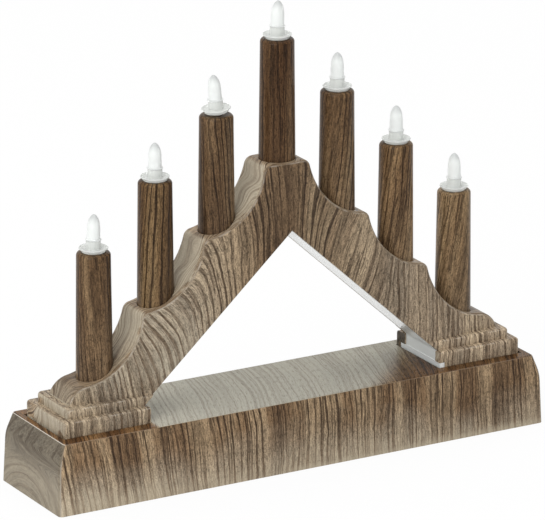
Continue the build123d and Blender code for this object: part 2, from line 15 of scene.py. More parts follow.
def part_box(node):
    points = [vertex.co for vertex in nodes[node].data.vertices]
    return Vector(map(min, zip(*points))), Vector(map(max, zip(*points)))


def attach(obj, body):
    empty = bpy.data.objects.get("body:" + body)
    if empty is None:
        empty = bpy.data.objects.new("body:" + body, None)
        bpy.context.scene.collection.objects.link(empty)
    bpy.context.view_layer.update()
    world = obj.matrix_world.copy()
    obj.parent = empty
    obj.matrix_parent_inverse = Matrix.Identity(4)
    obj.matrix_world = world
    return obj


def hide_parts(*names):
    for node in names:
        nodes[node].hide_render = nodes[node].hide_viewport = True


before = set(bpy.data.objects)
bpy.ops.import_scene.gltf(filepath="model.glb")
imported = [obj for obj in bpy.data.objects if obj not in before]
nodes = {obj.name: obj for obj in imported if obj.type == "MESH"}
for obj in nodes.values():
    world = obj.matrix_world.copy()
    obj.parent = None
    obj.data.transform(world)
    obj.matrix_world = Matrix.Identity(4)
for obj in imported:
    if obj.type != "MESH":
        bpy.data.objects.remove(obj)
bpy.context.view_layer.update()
mm = 1000  # millimetres in a metre

# %% [markdown]
# ## Camera
# The photograph was taken from far away with a long lens, so upright edges stay nearly parallel. A camera
# can be set by eye, but here it was fitted: plinth corners and candle axes were matched to the picture,
# which gave the eye point, the aim and the lens. Aimed straight at the picture's middle, the camera needs
# no lens shift.

# %% Camera at the photograph's angle
scene = bpy.context.scene
scene.view_settings.view_transform = "Standard"
eye = Vector((-1.050586, -1.826582, 0.773683))
aim = Vector((-0.00294, -0.00182, 0.08068))
roll_deg = 0.125
sensor_mm = 36
lens_mm = 372.7
roll = Quaternion((0, 0, 1), math.radians(roll_deg))
lens_data = bpy.data.cameras.new("photo_camera")
lens_data.sensor_width = sensor_mm
lens_data.lens = lens_mm
camera = bpy.data.objects.new("photo_camera", lens_data)
camera.location = eye
camera.rotation_euler = ((aim - eye).to_track_quat("-Z", "Y") @ roll).to_euler()
scene.collection.objects.link(camera)
scene.camera = camera
print("Camera", round((eye - aim).length, 3), "m away, lens", lens_mm, "mm")

# %% [markdown]
# ## Node helpers
# Every finish here is worked out by shader nodes from the place on the object, so nothing is painted and no
# picture is loaded. Wiring nodes by hand is wordy, so these helpers add one node, feed its inputs with
# numbers or with other nodes, and hand back the output that the next step needs.

# %% Helpers that work with numbers


def add_node(tree, kind, inputs=None, **settings):
    """Add one node. Inputs are given by name or number, as values or as sockets to link."""
    made = tree.nodes.new(kind)
    for key, value in settings.items():
        setattr(made, key, value)
    for key, value in (inputs or {}).items():
        if isinstance(value, bpy.types.NodeSocket):
            tree.links.new(value, made.inputs[key])
        else:
            made.inputs[key].default_value = value
    return made


def calc(tree, operation, *values):
    """One Math node, as in calc(tree, "ADD", a, b)."""
    return add_node(tree, "ShaderNodeMath", dict(enumerate(values)), operation=operation).outputs[0]


def times(tree, first, *others):
    """Product of two or more numbers."""
    for other in others:
        first = calc(tree, "MULTIPLY", first, other)
    return first


def times_plus(tree, value, factor, extra):
    """value * factor + extra, in one node."""
    return calc(tree, "MULTIPLY_ADD", value, factor, extra)


def most(tree, first, *others):
    """Largest of two or more numbers."""
    for other in others:
        first = calc(tree, "MAXIMUM", first, other)
    return first


def remap(tree, value, low, high, to_low=0.0, to_high=1.0):
    """Smooth step of a value from one range to another."""
    made = add_node(tree, "ShaderNodeMapRange", {0: value, 1: low, 2: high, 3: to_low, 4: to_high},
                    interpolation_type="SMOOTHSTEP")
    return made.outputs[0]


def mixed(tree, factor, first, second):
    """Mix two numbers."""
    return add_node(tree, "ShaderNodeMix", {0: factor, 2: first, 3: second}).outputs[0]


print("Number helpers ready")

# %% Helpers that work with places, noise and colours


def vector(tree, x, y, z):
    """Three numbers as one vector."""
    return add_node(tree, "ShaderNodeCombineXYZ", {0: x, 1: y, 2: z}).outputs[0]


def split(tree, socket):
    """One vector as three numbers."""
    return add_node(tree, "ShaderNodeSeparateXYZ", {0: socket}).outputs


def stretch(tree, socket, x, y, z):
    """A vector times three factors."""
    made = add_node(tree, "ShaderNodeVectorMath", {0: socket, 1: (x, y, z)}, operation="MULTIPLY")
    return made.outputs[0]


def zoomed(tree, socket, factor):
    """A vector times one factor."""
    return stretch(tree, socket, factor, factor, factor)


def object_place(tree):
    """Place on the object, in metres."""
    return add_node(tree, "ShaderNodeTexCoord").outputs["Object"]


def cloud(tree, socket, detail=2.0, roughness=0.5):
    """Noise between about 0.2 and 0.8, most of it near a half."""
    made = add_node(tree, "ShaderNodeTexNoise",
                    {"Vector": socket, "Scale": 1.0, "Detail": detail, "Roughness": roughness})
    return made.outputs[0]


def shade(red, green, blue):
    """A colour with full opacity."""
    return (red, green, blue, 1.0)


def blend(tree, factor, first, second, blend_type="MIX"):
    """Mix two colours."""
    made = add_node(tree, "ShaderNodeMix", {0: factor, 6: first, 7: second}, data_type="RGBA",
                    blend_type=blend_type)
    return made.outputs[2]


def new_finish(name):
    """An empty material, its node tree and its main shader."""
    material = bpy.data.materials.new(name)
    material.use_nodes = True
    tree = material.node_tree
    return material, tree, tree.nodes["Principled BSDF"]


print("Place, noise and colour helpers ready")

# %% [markdown]
# ## Studio
# The photograph is a cut-out on white with very even light. A white floor and a white world give that
# evenness, and two large soft lamps, one from the left and one from above, shape the forms. A plain white
# floor would come out grey, so it is mostly self-lit where it is seen, which keeps a faint shadow. It has an
# opening under the plinth, which hides it, so the underside can be looked at from below.

# %% World
room_light = 0.68  # strength for the light that falls on the object
room_seen = 1.0  # strength where the room itself is seen
world = bpy.data.worlds.new("studio_white")
scene.world = world
world.use_nodes = True
sky = world.node_tree
sky.nodes.clear()


def seen_rays(tree):
    """One for rays that show the room: straight from the camera, mirrored or through clear plastic."""
    path = add_node(tree, "ShaderNodeLightPath").outputs
    return most(tree, path["Is Camera Ray"], path["Is Glossy Ray"], path["Is Transmission Ray"])


strength = remap(sky, seen_rays(sky), 0.0, 1.0, room_light, room_seen)
backdrop = add_node(sky, "ShaderNodeBackground", {"Color": shade(1, 1, 1), "Strength": strength})
add_node(sky, "ShaderNodeOutputWorld", {"Surface": backdrop.outputs[0]})
print("World:", len(sky.nodes), "nodes")

# %% Floor
floor_reach = 4.0
floor_level = -0.0001  # just below the plinth's rim, so that no two faces lie in one plane
floor_inset = 0.001  # how far the floor reaches in under the plinth
self_lit_share = 0.93
low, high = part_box("base_housing")
outer = [(-1, -1), (1, -1), (1, 1), (-1, 1)]
inner = [(low.x + floor_inset, low.y + floor_inset), (high.x - floor_inset, low.y + floor_inset),
         (high.x - floor_inset, high.y - floor_inset), (low.x + floor_inset, high.y - floor_inset)]
corners = [(floor_reach * x, floor_reach * y, floor_level) for x, y in outer]
corners += [(x, y, floor_level) for x, y in inner]
floor_mesh = bpy.data.meshes.new("floor")
floor_mesh.from_pydata(corners, [], [(0, 1, 5, 4), (1, 2, 6, 5), (2, 3, 7, 6), (3, 0, 4, 7)])
floor = bpy.data.objects.new("floor", floor_mesh)
scene.collection.objects.link(floor)
floor_finish, tree, shader = new_finish("floor_white")
lit = add_node(tree, "ShaderNodeBsdfDiffuse", {"Color": shade(0.88, 0.88, 0.88)}).outputs[0]
self_lit = add_node(tree, "ShaderNodeEmission", {"Color": shade(1, 1, 1), "Strength": 1.0}).outputs[0]
share = times(tree, seen_rays(tree), self_lit_share)
both = add_node(tree, "ShaderNodeMixShader", {0: share, 1: lit, 2: self_lit}).outputs[0]
tree.links.new(both, tree.nodes["Material Output"].inputs["Surface"])
tree.nodes.remove(shader)
floor.data.materials.append(floor_finish)
print("Floor:", len(floor_mesh.polygons), "faces round the plinth")

# %% Lamps
lamp_aim = Vector((0, 0, 0.08))


def soft_lamp(name, place, size, watts):
    """A square area lamp that faces the middle of the arch."""
    data = bpy.data.lights.new(name, "AREA")
    data.size = size
    data.energy = watts
    lamp = bpy.data.objects.new(name, data)
    lamp.location = place
    lamp.rotation_euler = (lamp_aim - Vector(place)).to_track_quat("-Z", "Y").to_euler()
    scene.collection.objects.link(lamp)
    print(name, size, "m wide,", watts, "W")


soft_lamp("key_left", (-1.7, -1.1, 1.1), 1.4, 24.0)
soft_lamp("top_soft", (0.1, 0.3, 2.0), 1.6, 14.0)

# %% [markdown]
# ## Walnut print
# The brown plastic carries a printed film that imitates walnut: broad warm and grey zones, dark streaks of
# uneven width, thin lines, fibres and short dark pores, all drawn out along the grain. Noise that is
# squeezed across the grain and stretched along it gives each of these. One node group holds the recipe,
# and each piece feeds it its own grain place in millimetres: X across the grain, Z along it and Y through
# the sheet.

# %% The recipe's inputs, and the grain's sway
line_gap = 2.7  # millimetres from one printed line to the next
line_turn = 2 * math.pi / line_gap
slow_sway = 9.0  # millimetres, for the largest swing of the grain
quick_sway = 2.0  # millimetres, for the small waves on it
walnut = bpy.data.node_groups.new("walnut_print", "ShaderNodeTree")
walnut_sockets = (("Grain", "INPUT", "Vector"), ("Turn", "INPUT", "Float"), ("Pale", "INPUT", "Float"),
                  ("Tone", "INPUT", "Vector"), ("Color", "OUTPUT", "Color"),
                  ("Roughness", "OUTPUT", "Float"), ("Height", "OUTPUT", "Float"))
for label, way, kind in walnut_sockets:
    walnut.interface.new_socket(label, in_out=way, socket_type="NodeSocket" + kind)
given = walnut.nodes.new("NodeGroupInput").outputs
slow = calc(walnut, "SUBTRACT", cloud(walnut, stretch(walnut, given["Grain"], 0.02, 0.02, 0.014)), 0.5)
quick = calc(walnut, "SUBTRACT", cloud(walnut, stretch(walnut, given["Grain"], 0.20, 0.20, 0.06)), 0.5)
sway = times_plus(walnut, slow, slow_sway, times(walnut, quick, quick_sway))
grain = add_node(walnut, "ShaderNodeVectorMath", {0: given["Grain"], 1: vector(walnut, sway, 0.0, 0.0)},
                 operation="ADD").outputs[0]
print("Walnut recipe:", len(walnut_sockets), "sockets")

# %% Noise layers, from broad zones to fine pores
layer_sizes = {  # cycles in a millimetre across, through and along the grain, then detail and roughness
    "broad": (0.10, 0.10, 0.006, 2.0, 0.5),
    "depth": (0.17, 0.15, 0.008, 3.0, 0.6),
    "streak": (0.24, 0.22, 0.006, 2.0, 0.5),
    "line": (0.80, 0.72, 0.009, 2.0, 0.55),
    "hair": (1.70, 1.50, 0.030, 1.0, 0.5),
    "fibre": (2.8, 2.5, 0.30, 1.0, 0.6),
    "pore": (2.8, 2.6, 1.0, 0.0, 0.5),
    "weave": (3.0, 3.0, 3.0, 0.0, 0.5),
}
layer = {}
for name, (across, through, along, detail, roughness) in layer_sizes.items():
    layer[name] = cloud(walnut, stretch(walnut, grain, across, through, along), detail, roughness)
print("Noise layers:", ", ".join(layer))

# %% Where the dark ink lies
ripple_swing = 18.0  # radians, how far the broad zones push the lines about
turn = times_plus(walnut, sway, line_turn, given["Turn"])
ripple = calc(walnut, "SINE", times_plus(walnut, layer["broad"], ripple_swing, turn))
ripple_ink = times(walnut, remap(walnut, ripple, 0.30, 0.92),
                   remap(walnut, layer["depth"], 0.36, 0.57, 0.16, 0.92))
streak_ink = remap(walnut, layer["streak"], 0.34, 0.46, 0.42, 0.0)
line_ink = remap(walnut, layer["line"], 0.37, 0.45, 0.72, 0.0)
hair_ink = remap(walnut, layer["hair"], 0.34, 0.44, 0.34, 0.0)
ink = most(walnut, ripple_ink, hair_ink, streak_ink, line_ink)
print("Ink from ripples, hairs, streaks and lines")

# %% Colours of the film
dark_streak = shade(0.034, 0.019, 0.011)
deep_brown = shade(0.148, 0.090, 0.048)
mid_brown = shade(0.205, 0.129, 0.070)
tan_brown = shade(0.315, 0.222, 0.132)
film_grey = shade(0.440, 0.408, 0.325)

field = blend(walnut, remap(walnut, layer["broad"], 0.34, 0.48), deep_brown, mid_brown)
field = blend(walnut, remap(walnut, layer["broad"], 0.44, 0.60), field, tan_brown)
field = blend(walnut, ink, field, dark_streak)
faint_ink = times(walnut, ink, remap(walnut, given["Pale"], 0.5, 1.0, 0.85, 0.38))
veil = blend(walnut, faint_ink, film_grey, deep_brown)
field = blend(walnut, given["Pale"], field, veil)
fine = times(walnut, remap(walnut, layer["fibre"], 0.28, 0.72, 0.68, 1.32),
             remap(walnut, layer["weave"], 0.27, 0.73, 0.82, 1.18),
             remap(walnut, layer["pore"], 0.57, 0.68, 1.0, 0.60))
fine = mixed(walnut, remap(walnut, given["Pale"], 0.3, 1.0, 0.0, 0.78), fine, 1.0)
field = blend(walnut, 1.0, field, vector(walnut, fine, fine, fine), "MULTIPLY")
field = blend(walnut, 1.0, field, given["Tone"], "MULTIPLY")
walnut_out = walnut.nodes.new("NodeGroupOutput").inputs
walnut.links.new(field, walnut_out["Color"])
walnut.links.new(remap(walnut, layer["fibre"], 0.3, 0.7, 0.26, 0.36), walnut_out["Roughness"])
walnut.links.new(fine, walnut_out["Height"])
print("Walnut recipe:", len(walnut.nodes), "nodes")

# %% [markdown]
# The film is satin: dark seen square on, and with a white sheen seen at a slant, as on the plinth's top. A
# low index of refraction gives that, with little reflection square on; on the plinth's top the sheen is also
# painted into the colour. Worn edges show the film's pale backing, and the same pale colour paints a
# highlight along edges that catch the light, so each finish also takes an amount of wear and highlight.

# %% A finish from the recipe
film_index = 1.20
# pale backing of worn edges, also the colour of the painted highlight along edges
backing_and_highlight = shade(0.62, 0.57, 0.50)
fine_bump = 0.0001  # metres


def walnut_finish(name, grain_of):
    """Satin printed plastic. grain_of(tree) gives grain place, line phase, paleness, tone, and pale edges
    from worn film and painted highlight.
    """
    material, tree, shader = new_finish(name)
    place, turn, pale, tone, wear_and_highlight = grain_of(tree)
    sheet = add_node(tree, "ShaderNodeGroup", node_tree=walnut)
    for label, socket in (("Grain", place), ("Turn", turn), ("Pale", pale), ("Tone", tone)):
        tree.links.new(socket, sheet.inputs[label])
    # pale edges: worn film and painted highlight
    color = blend(tree, wear_and_highlight, sheet.outputs["Color"], backing_and_highlight)
    tree.links.new(color, shader.inputs["Base Color"])
    tree.links.new(sheet.outputs["Roughness"], shader.inputs["Roughness"])
    bump = add_node(tree, "ShaderNodeBump",
                    {"Height": sheet.outputs["Height"], "Strength": 0.10, "Distance": fine_bump})
    tree.links.new(bump.outputs[0], shader.inputs["Normal"])
    shader.inputs["IOR"].default_value = film_index
    return material


def dress(names, material):
    """Put a finish on CAD nodes."""
    for name in names:
        for slot in nodes[name].material_slots:
            slot.material = material
    print(material.name, "on", ", ".join(names))


print("Film finish ready, index", film_index)

# %% Places, edges and tints that several finishes use


def place_mm(tree):
    """Place on the object in millimetres, and how far each face looks along X, Y and Z."""
    coordinate = add_node(tree, "ShaderNodeTexCoord").outputs
    x, y, z = split(tree, zoomed(tree, coordinate["Object"], mm))
    facing = [calc(tree, "ABSOLUTE", part) for part in split(tree, coordinate["Normal"])]
    return x, y, z, facing


def edge_line(tree, facing):
    """Narrow band in the middle of a rounded edge, where the face looks half one way and half another."""
    rising = remap(tree, facing, 0.50, 0.66)
    falling = remap(tree, facing, 0.76, 0.90, 1.0, 0.0)
    return times(tree, rising, falling)


def choose(tree, factor, first, second):
    """Switch from one grain place to another."""
    made = add_node(tree, "ShaderNodeMix", {0: factor, 4: first, 5: second}, data_type="VECTOR")
    return made.outputs[1]


def line_phase(tree, place):
    """Phase of the printed lines on a flat face: one turn for each line gap across the grain."""
    return times(tree, split(tree, place)[0], line_turn)


def tinted(tree, tone, warmth):
    """A tone as a colour: red times 1 + warmth, green as it is, blue times 1 - warmth."""
    red = times(tree, tone, calc(tree, "ADD", 1.0, warmth))
    blue = times(tree, tone, calc(tree, "SUBTRACT", 1.0, warmth))
    return vector(tree, red, tone, blue)


print("Place, edge and tint helpers ready")

# %% [markdown]
# ## Plinth
# The film lies differently on each side of the plinth: upright streaks on the long sides, streaks that cross
# the top at a slant, and rings on the ends, where the film was drawn around the corners and came out paler.
# It also grows paler towards the bottom edge in uneven patches, print fade with painted bounce light from
# the floor, and on the right a glow of the white floor is painted along the bottom. On the top, a sheen and
# the shade and reflection of the feet are painted in. One picture wrapped round the plinth would need its
# own unwrapping, so the face's own direction picks the grain, and the three patterns meet at the rounded
# edges.

# %% Which way the plinth's grain runs
top_drift = -0.33  # millimetres along X for each millimetre of depth
top_bow = 0.0035  # millimetres along X for each square millimetre of depth
ring_squash = 0.8  # height of the rings as a share of their width
ring_side = -3.0  # moves the rings' middle a little towards the back
ring_below = 9.0  # millimetres from the plinth's bottom edge down to the rings' middle
top_sheet = 40.0  # another part of the sheet for the top, so that its lines don't repeat the sides'


def plinth_place(tree, x, y, z, on_top, on_end):
    """Sides: across = X + lean Z. Top: across = X + drift Y + bow Y^2. Ends: rings, slanted lines above."""
    lean = remap(tree, x, -90.0, 10.0, 0.13, 0.0)
    upright = vector(tree, times_plus(tree, lean, z, x), times(tree, y, 0.3), z)
    bowed = times_plus(tree, times(tree, y, y), top_bow, x)
    across_top = vector(tree, times_plus(tree, y, top_drift, bowed), top_sheet, y)
    from_middle = vector(tree, 0.0, times_plus(tree, y, ring_squash, ring_side),
                         calc(tree, "ADD", z, ring_below))
    ring = add_node(tree, "ShaderNodeVectorMath", {0: from_middle}, operation="LENGTH").outputs["Value"]
    slanted = times_plus(tree, y, 0.85, times(tree, z, 0.55))
    swirl = mixed(tree, remap(tree, z, 15.0, 22.0), ring, slanted)
    rings = vector(tree, times(tree, swirl, 0.42), x, times(tree, y, 0.4))
    return choose(tree, on_top, choose(tree, on_end, upright, rings), across_top)


print("Plinth grain: sides, top and ends")

# %% Where the plinth's film is pale, light or dark
paleness_swing = 22.0  # millimetres, how far noise moves the paleness up and down


def painted_sheen_mask_of(tree, x, y):
    """One on the open top, which gets a painted sheen; nought round the feet, which get painted shade and
    reflection. On the right the change runs along a slant.
    """
    slanted = calc(tree, "SUBTRACT", x, y)
    return times(tree, remap(tree, x, -67.0, -64.0), remap(tree, slanted, 46.0, 72.0, 1.0, 0.02))


def plinth_pale(tree, x, y, z, on_top, on_end, painted_sheen_mask):
    """Paleness: it grows towards the bottom edge in uneven patches, print fade and painted bounce light,
    with a painted floor glow on the right; it covers the ends, and a painted sheen covers the open top.
    """
    patch = cloud(tree, vector(tree, times(tree, x, 0.035), y, 0.0))
    uneven = times_plus(tree, patch, paleness_swing, calc(tree, "ADD", z, -paleness_swing / 2))
    # uneven paleness low down: print fade and painted bounce light from the floor
    paler_low = remap(tree, uneven, -4.0, remap(tree, x, 0.0, 70.0, 23.0, 17.0), 0.82, 0.0)
    # painted glow of the white floor along the bottom, from the middle rightwards
    bottom = times(tree, remap(tree, z, 0.0, 7.0, 0.90, 0.0), remap(tree, x, -40.0, 0.0))
    ends = times(tree, on_end, remap(tree, z, 10.0, 24.0, 0.86, 0.74))
    # the last term is a painted sheen on the open top
    return most(tree, paler_low, bottom, ends, times(tree, on_top, painted_sheen_mask, 0.88))


def plinth_tone(tree, x, z, pale, on_top, on_end, painted_sheen_mask):
    """Tone: on the top, painted light: a sheen makes the open top lightest, painted shade and reflection of
    the feet make the top round them dark and warm, and the top is painted lighter on the left, darker on the
    right. The ends darken upwards.
    """
    # painted light on the top: sheen, shade round the feet, lighter left and darker right
    top_painted_light = times(tree, remap(tree, painted_sheen_mask, 0.0, 1.0, 0.44, 0.94),
                     remap(tree, x, -62.0, -5.0, 1.24, 1.0), remap(tree, x, 5.0, 40.0, 1.0, 0.92))
    tone = mixed(tree, on_top, remap(tree, x, -90.0, 40.0, 1.12, 0.98), top_painted_light)
    tone = mixed(tree, on_end, tone, remap(tree, z, 8.0, 24.0, 0.66, 0.38))
    top_warmth = remap(tree, painted_sheen_mask, 0.0, 1.0, 0.30, -0.04)
    return tinted(tree, tone, mixed(tree, on_top, times(tree, pale, 0.07), top_warmth))


print("Plinth paleness and tone ready")

# %% Plinth print


def plinth_grain(tree):
    """Grain place, line phase, paleness, tone and pale edges. The rim of each end, and fainter the upright
    corners, show a pale line: worn film and a painted highlight.
    """
    x, y, z, (end, side, top) = place_mm(tree)
    on_end = remap(tree, end, 0.55, 0.75)
    on_top = remap(tree, top, 0.55, 0.75)
    painted_sheen_mask = painted_sheen_mask_of(tree, x, y)
    place = plinth_place(tree, x, y, z, on_top, on_end)
    pale = plinth_pale(tree, x, y, z, on_top, on_end, painted_sheen_mask)
    tone = plinth_tone(tree, x, z, pale, on_top, on_end, painted_sheen_mask)
    # pale lines on rims and corners: worn film and painted highlight
    rim = times(tree, edge_line(tree, top), remap(tree, end, 0.3, 0.5, 0.10, 0.85))
    corner = times(tree, edge_line(tree, side), remap(tree, top, 0.2, 0.4, 0.22, 0.0))
    return place, line_phase(tree, place), pale, tone, most(tree, rim, corner)


dress(["base_housing"], walnut_finish("walnut_plinth", plinth_grain))

# %% [markdown]
# ## Arch
# On the arch the streaks run upright in the middle and lean inwards on both legs, as the film slid down the
# slopes while it was put on, and on the left leg they also bow. A straight pattern would miss this, so the
# lean is read from the photograph as a few points of a curve along X. The stepped upper side is paler, with
# lines that follow the steps; where its faces look sideways, light from the side is painted in as well. Its
# edges show thin pale lines of worn film and painted highlight.

# %% Lean of the arch's streaks
arch_end = 110  # millimetres from the middle, where the curve starts and ends
lean_left = ((-arch_end, 0.0), (-85, -0.05), (-70, -0.16), (-58, -0.30), (-47, -0.30), (-38, -0.17),
             (-25, -0.05))
lean_right = ((0, 0.03), (12, 0.19), (22, 0.32), (32, 0.35), (44, 0.22), (55, 0.09), (66, 0.03),
              (arch_end, 0.0))
half = 0.5  # a curve node works from 0 to 1, so the lean is raised by a half inside it


def leaning(tree, x):
    """Lean of the grain at a place along X: a smooth curve through the points above."""
    share = add_node(tree, "ShaderNodeMapRange",
                     {0: x, 1: float(-arch_end), 2: float(arch_end)}).outputs[0]
    made = add_node(tree, "ShaderNodeFloatCurve", {"Value": share})
    curve = made.mapping.curves[0]
    points = [((at + arch_end) / (2 * arch_end), amount + half) for at, amount in lean_left + lean_right]
    while len(curve.points) < len(points):
        curve.points.new(half, half)
    for knot, (at, amount) in zip(curve.points, points):
        knot.location = (at, amount)
    made.mapping.update()
    return calc(tree, "SUBTRACT", made.outputs[0], half)


print("Lean:", len(lean_left) + len(lean_right), "points along the arch")

# %% Which way the arch's grain runs
leg_top = 109.0  # millimetres, the height at which the middle lines of both legs meet
leg_fall = -0.91  # millimetres of height for each millimetre outwards along these lines
leg_bow = 0.030  # share by which the left leg's lean grows for each millimetre above its middle line
step_bend = 26.0  # millimetres, how far noise shifts the lines on the steps
step_sheet = 70.0  # another part of the sheet for the steps


def arch_place(tree, x, y, z, rise, slow_place, on_face):
    """Faces and feet: across = X - lean(X) (1 + bow rise) rise. Steps: across = Y, bent by noise."""
    bow = times_plus(tree, rise, remap(tree, x, -34.0, -18.0, leg_bow, 0.0), 1.0)
    lean = times(tree, leaning(tree, x), bow)
    across = calc(tree, "SUBTRACT", x, times(tree, lean, rise))
    upright = vector(tree, across, times(tree, y, 0.3), z)
    bend = cloud(tree, slow_place, 1.0)
    along_step = vector(tree, times_plus(tree, bend, step_bend, y), step_sheet, times(tree, z, 0.6))
    return choose(tree, on_face, along_step, upright)


print("Arch grain: faces, feet and steps")

# %% Where the arch's film is pale, light or dark


def arch_pale(tree, x, y, z, rise, end, at_foot, on_face, slow_place):
    """Paleness: it grows outwards and on the left leg's inner side. The steps are pale, with smudges, and
    paler where they look sideways, partly as painted light from the side.
    """
    leg_pale = times(tree, remap(tree, x, -68.0, -20.0, 0.52, 0.0),
                     remap(tree, rise, -16.0, 8.0, 1.0, 0.45), remap(tree, z, 38.0, 50.0, 0.1, 1.0))
    outwards = remap(tree, calc(tree, "ABSOLUTE", x), 4.0, 55.0, 0.03, 0.30)
    face_pale = calc(tree, "ADD", outwards, leg_pale)
    patch = remap(tree, cloud(tree, zoomed(tree, slow_place, 3.2)), 0.48, 0.58)
    smudge = times(tree, patch, remap(tree, calc(tree, "ABSOLUTE", y), 5.0, 10.0))
    # the steps' pale film, raised where they look sideways as painted light from the side
    step_pale = times(tree, remap(tree, end, 0.3, 0.75, 0.28, 0.82),
                      most(tree, remap(tree, z, 50.0, 64.0, 0.66, 1.0), at_foot),
                      remap(tree, smudge, 0.0, 1.0, 1.0, 0.30))
    return mixed(tree, on_face, step_pale, face_pale)


def arch_tone(tree, x, y, z, end, at_foot, on_face):
    """Tone: darkest in the middle, with painted shade in the hollow behind each liner panel, a little warm
    on the steps.
    """
    from_middle = calc(tree, "ABSOLUTE", x)
    face_tone = times(tree, remap(tree, from_middle, 3.0, 42.0, 0.80, 1.06),
                      remap(tree, x, 44.0, 64.0, 1.0, 1.16), remap(tree, z, 37.0, 41.0, 1.16, 1.0))
    step_tone = most(tree, remap(tree, z, 46.0, 60.0, 0.78, 1.06), at_foot)
    # painted shade in the hollow behind each liner panel
    nook_shade = times(tree, remap(tree, end, 0.6, 0.8), remap(tree, from_middle, 67.0, 69.0, 1.0, 0.0),
                 remap(tree, z, 38.5, 39.5, 0.78, 0.0), remap(tree, y, 2.0, 4.0))
    tone = times(tree, mixed(tree, on_face, step_tone, face_tone), calc(tree, "SUBTRACT", 1.0, nook_shade))
    return tinted(tree, tone, mixed(tree, on_face, 0.04, 0.0))


print("Arch paleness and tone ready")

# %% Arch print


def arch_grain(tree):
    """Grain place, line phase, paleness, tone and pale edges. The edges of the steps show pale lines in
    places: worn film and a painted highlight.
    """
    x, y, z, (end, face, _) = place_mm(tree)
    leg_middle = times_plus(tree, calc(tree, "ABSOLUTE", x), leg_fall, leg_top)
    rise = calc(tree, "SUBTRACT", z, leg_middle)
    slow_place = zoomed(tree, vector(tree, x, y, z), 0.05)
    at_foot = remap(tree, z, 38.8, 39.4, 1.0, 0.0)
    on_foot = times(tree, at_foot, remap(tree, end, 0.5, 0.7, 1.0, 0.0))
    on_face = most(tree, remap(tree, face, 0.28, 0.80), on_foot)
    place = arch_place(tree, x, y, z, rise, slow_place, on_face)
    pale = arch_pale(tree, x, y, z, rise, end, at_foot, on_face, slow_place)
    tone = arch_tone(tree, x, y, z, end, at_foot, on_face)
    # noise breaks the pale edge lines, worn film and painted highlight, into patches
    edge_pale = remap(tree, cloud(tree, zoomed(tree, slow_place, 5.0)), 0.42, 0.62, 0.0, 0.26)
    return place, line_phase(tree, place), pale, tone, times(tree, edge_line(tree, face), edge_pale)


dress(["arch_shell"], walnut_finish("walnut_arch", arch_grain))

# %% [markdown]
# ## Candles
# Each candle tube has its own piece of film, wound round it with a slight twist. Noise in three dimensions
# that is stretched upwards runs round a tube with no seam, and turning the place about the candle's axis,
# more with height, gives the twist. The middle candle's piece of film is the darkest.

# %% Candle print
candle_count = 7
candle_lines = 19.0  # printed lines round a tube, a whole number so that they close
film_apart = 130.0  # millimetres through the sheet from one candle's film to the next
candle_twist = (0.5, -0.6, 0.4, 0.3, -0.9, -1.2, -1.4)  # degrees in a millimetre
candle_tone = ((0.73, 0.68, 0.61), (0.60, 0.53, 0.42), (0.52, 0.46, 0.40), (0.44, 0.35, 0.27),
               (0.68, 0.63, 0.56), (1.00, 0.95, 0.84), (1.05, 1.03, 0.94))


def candle_grain_for(number):
    """Grain of one candle: its own axis, twist and piece of film."""
    low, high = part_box(f"candle_{number}")
    middle_x = (low.x + high.x) / 2
    top = high.z * mm

    def candle_grain(tree):
        """Grain place, line phase, paleness, tone and wear, which is faint and only at the upper rim."""
        coordinate = object_place(tree)
        height = split(tree, coordinate)[2]
        twist = times(tree, height, math.radians(candle_twist[number - 1] * mm))
        turned = add_node(tree, "ShaderNodeVectorRotate",
                          {"Vector": coordinate, "Center": (middle_x, 0, 0), "Angle": twist},
                          rotation_type="Z_AXIS")
        x, y, z = split(tree, zoomed(tree, turned.outputs[0], mm))
        place = vector(tree, x, calc(tree, "ADD", y, film_apart * number), z)
        angle = calc(tree, "ARCTAN2", y, calc(tree, "SUBTRACT", x, middle_x * mm))
        pale = remap(tree, z, top - 55.0, top, 0.10, 0.0)
        share = remap(tree, z, top - 60.0, top, 1.06, 0.94)
        tone = stretch(tree, vector(tree, share, share, share), *candle_tone[number - 1])
        edge_pale = remap(tree, z, top - 0.4, top + 2.0, 0.0, 0.1)
        return place, times(tree, angle, candle_lines), pale, tone, edge_pale
    return candle_grain


for number in range(1, candle_count + 1):
    dress([f"candle_{number}"], walnut_finish(f"walnut_candle_{number}", candle_grain_for(number)))

# %% [markdown]
# ## White liner
# A smooth white moulding closes the arch from below. It is plain plastic, so a faint mottling of colour and
# gloss is all the detail it needs. Its end panels stand in the feet, in the arch's shade, so painted shade
# makes them greyer. It is smoother than the film, so seen at a slant it mirrors the white room.

# %% White liner
liner_finish, tree, shader = new_finish("white_liner")
x, y, z, (end, _, _) = place_mm(tree)
mottle = cloud(tree, zoomed(tree, vector(tree, x, y, z), 0.18), 3.0)
milk = blend(tree, mottle, shade(0.74, 0.76, 0.75), shade(0.80, 0.82, 0.81))
# painted shade on the end panels, which stand in the arch's feet
panel_shade = times(tree, remap(tree, z, 38.0, 42.0, 0.5, 0.0), remap(tree, end, 0.7, 0.9))
milk = blend(tree, panel_shade, milk, shade(0.42, 0.44, 0.43))
tree.links.new(milk, shader.inputs["Base Color"])
tree.links.new(remap(tree, mottle, 0.3, 0.7, 0.14, 0.22), shader.inputs["Roughness"])
dress(["arch_liner"], liner_finish)

# %% [markdown]
# ## Light fittings
# Each candle ends in a clear dished collar that carries a frosted flame. Both are turned shapes, which a
# spin tool could make, but a formula on a grid keeps every edge exact: a profile is carried round an axis.
# Some fittings sit a little askew in the photograph, so each has its own lean.

# %% Pieces from grids
smooth_angle = math.radians(38)
merge_reach = 1e-7  # metres


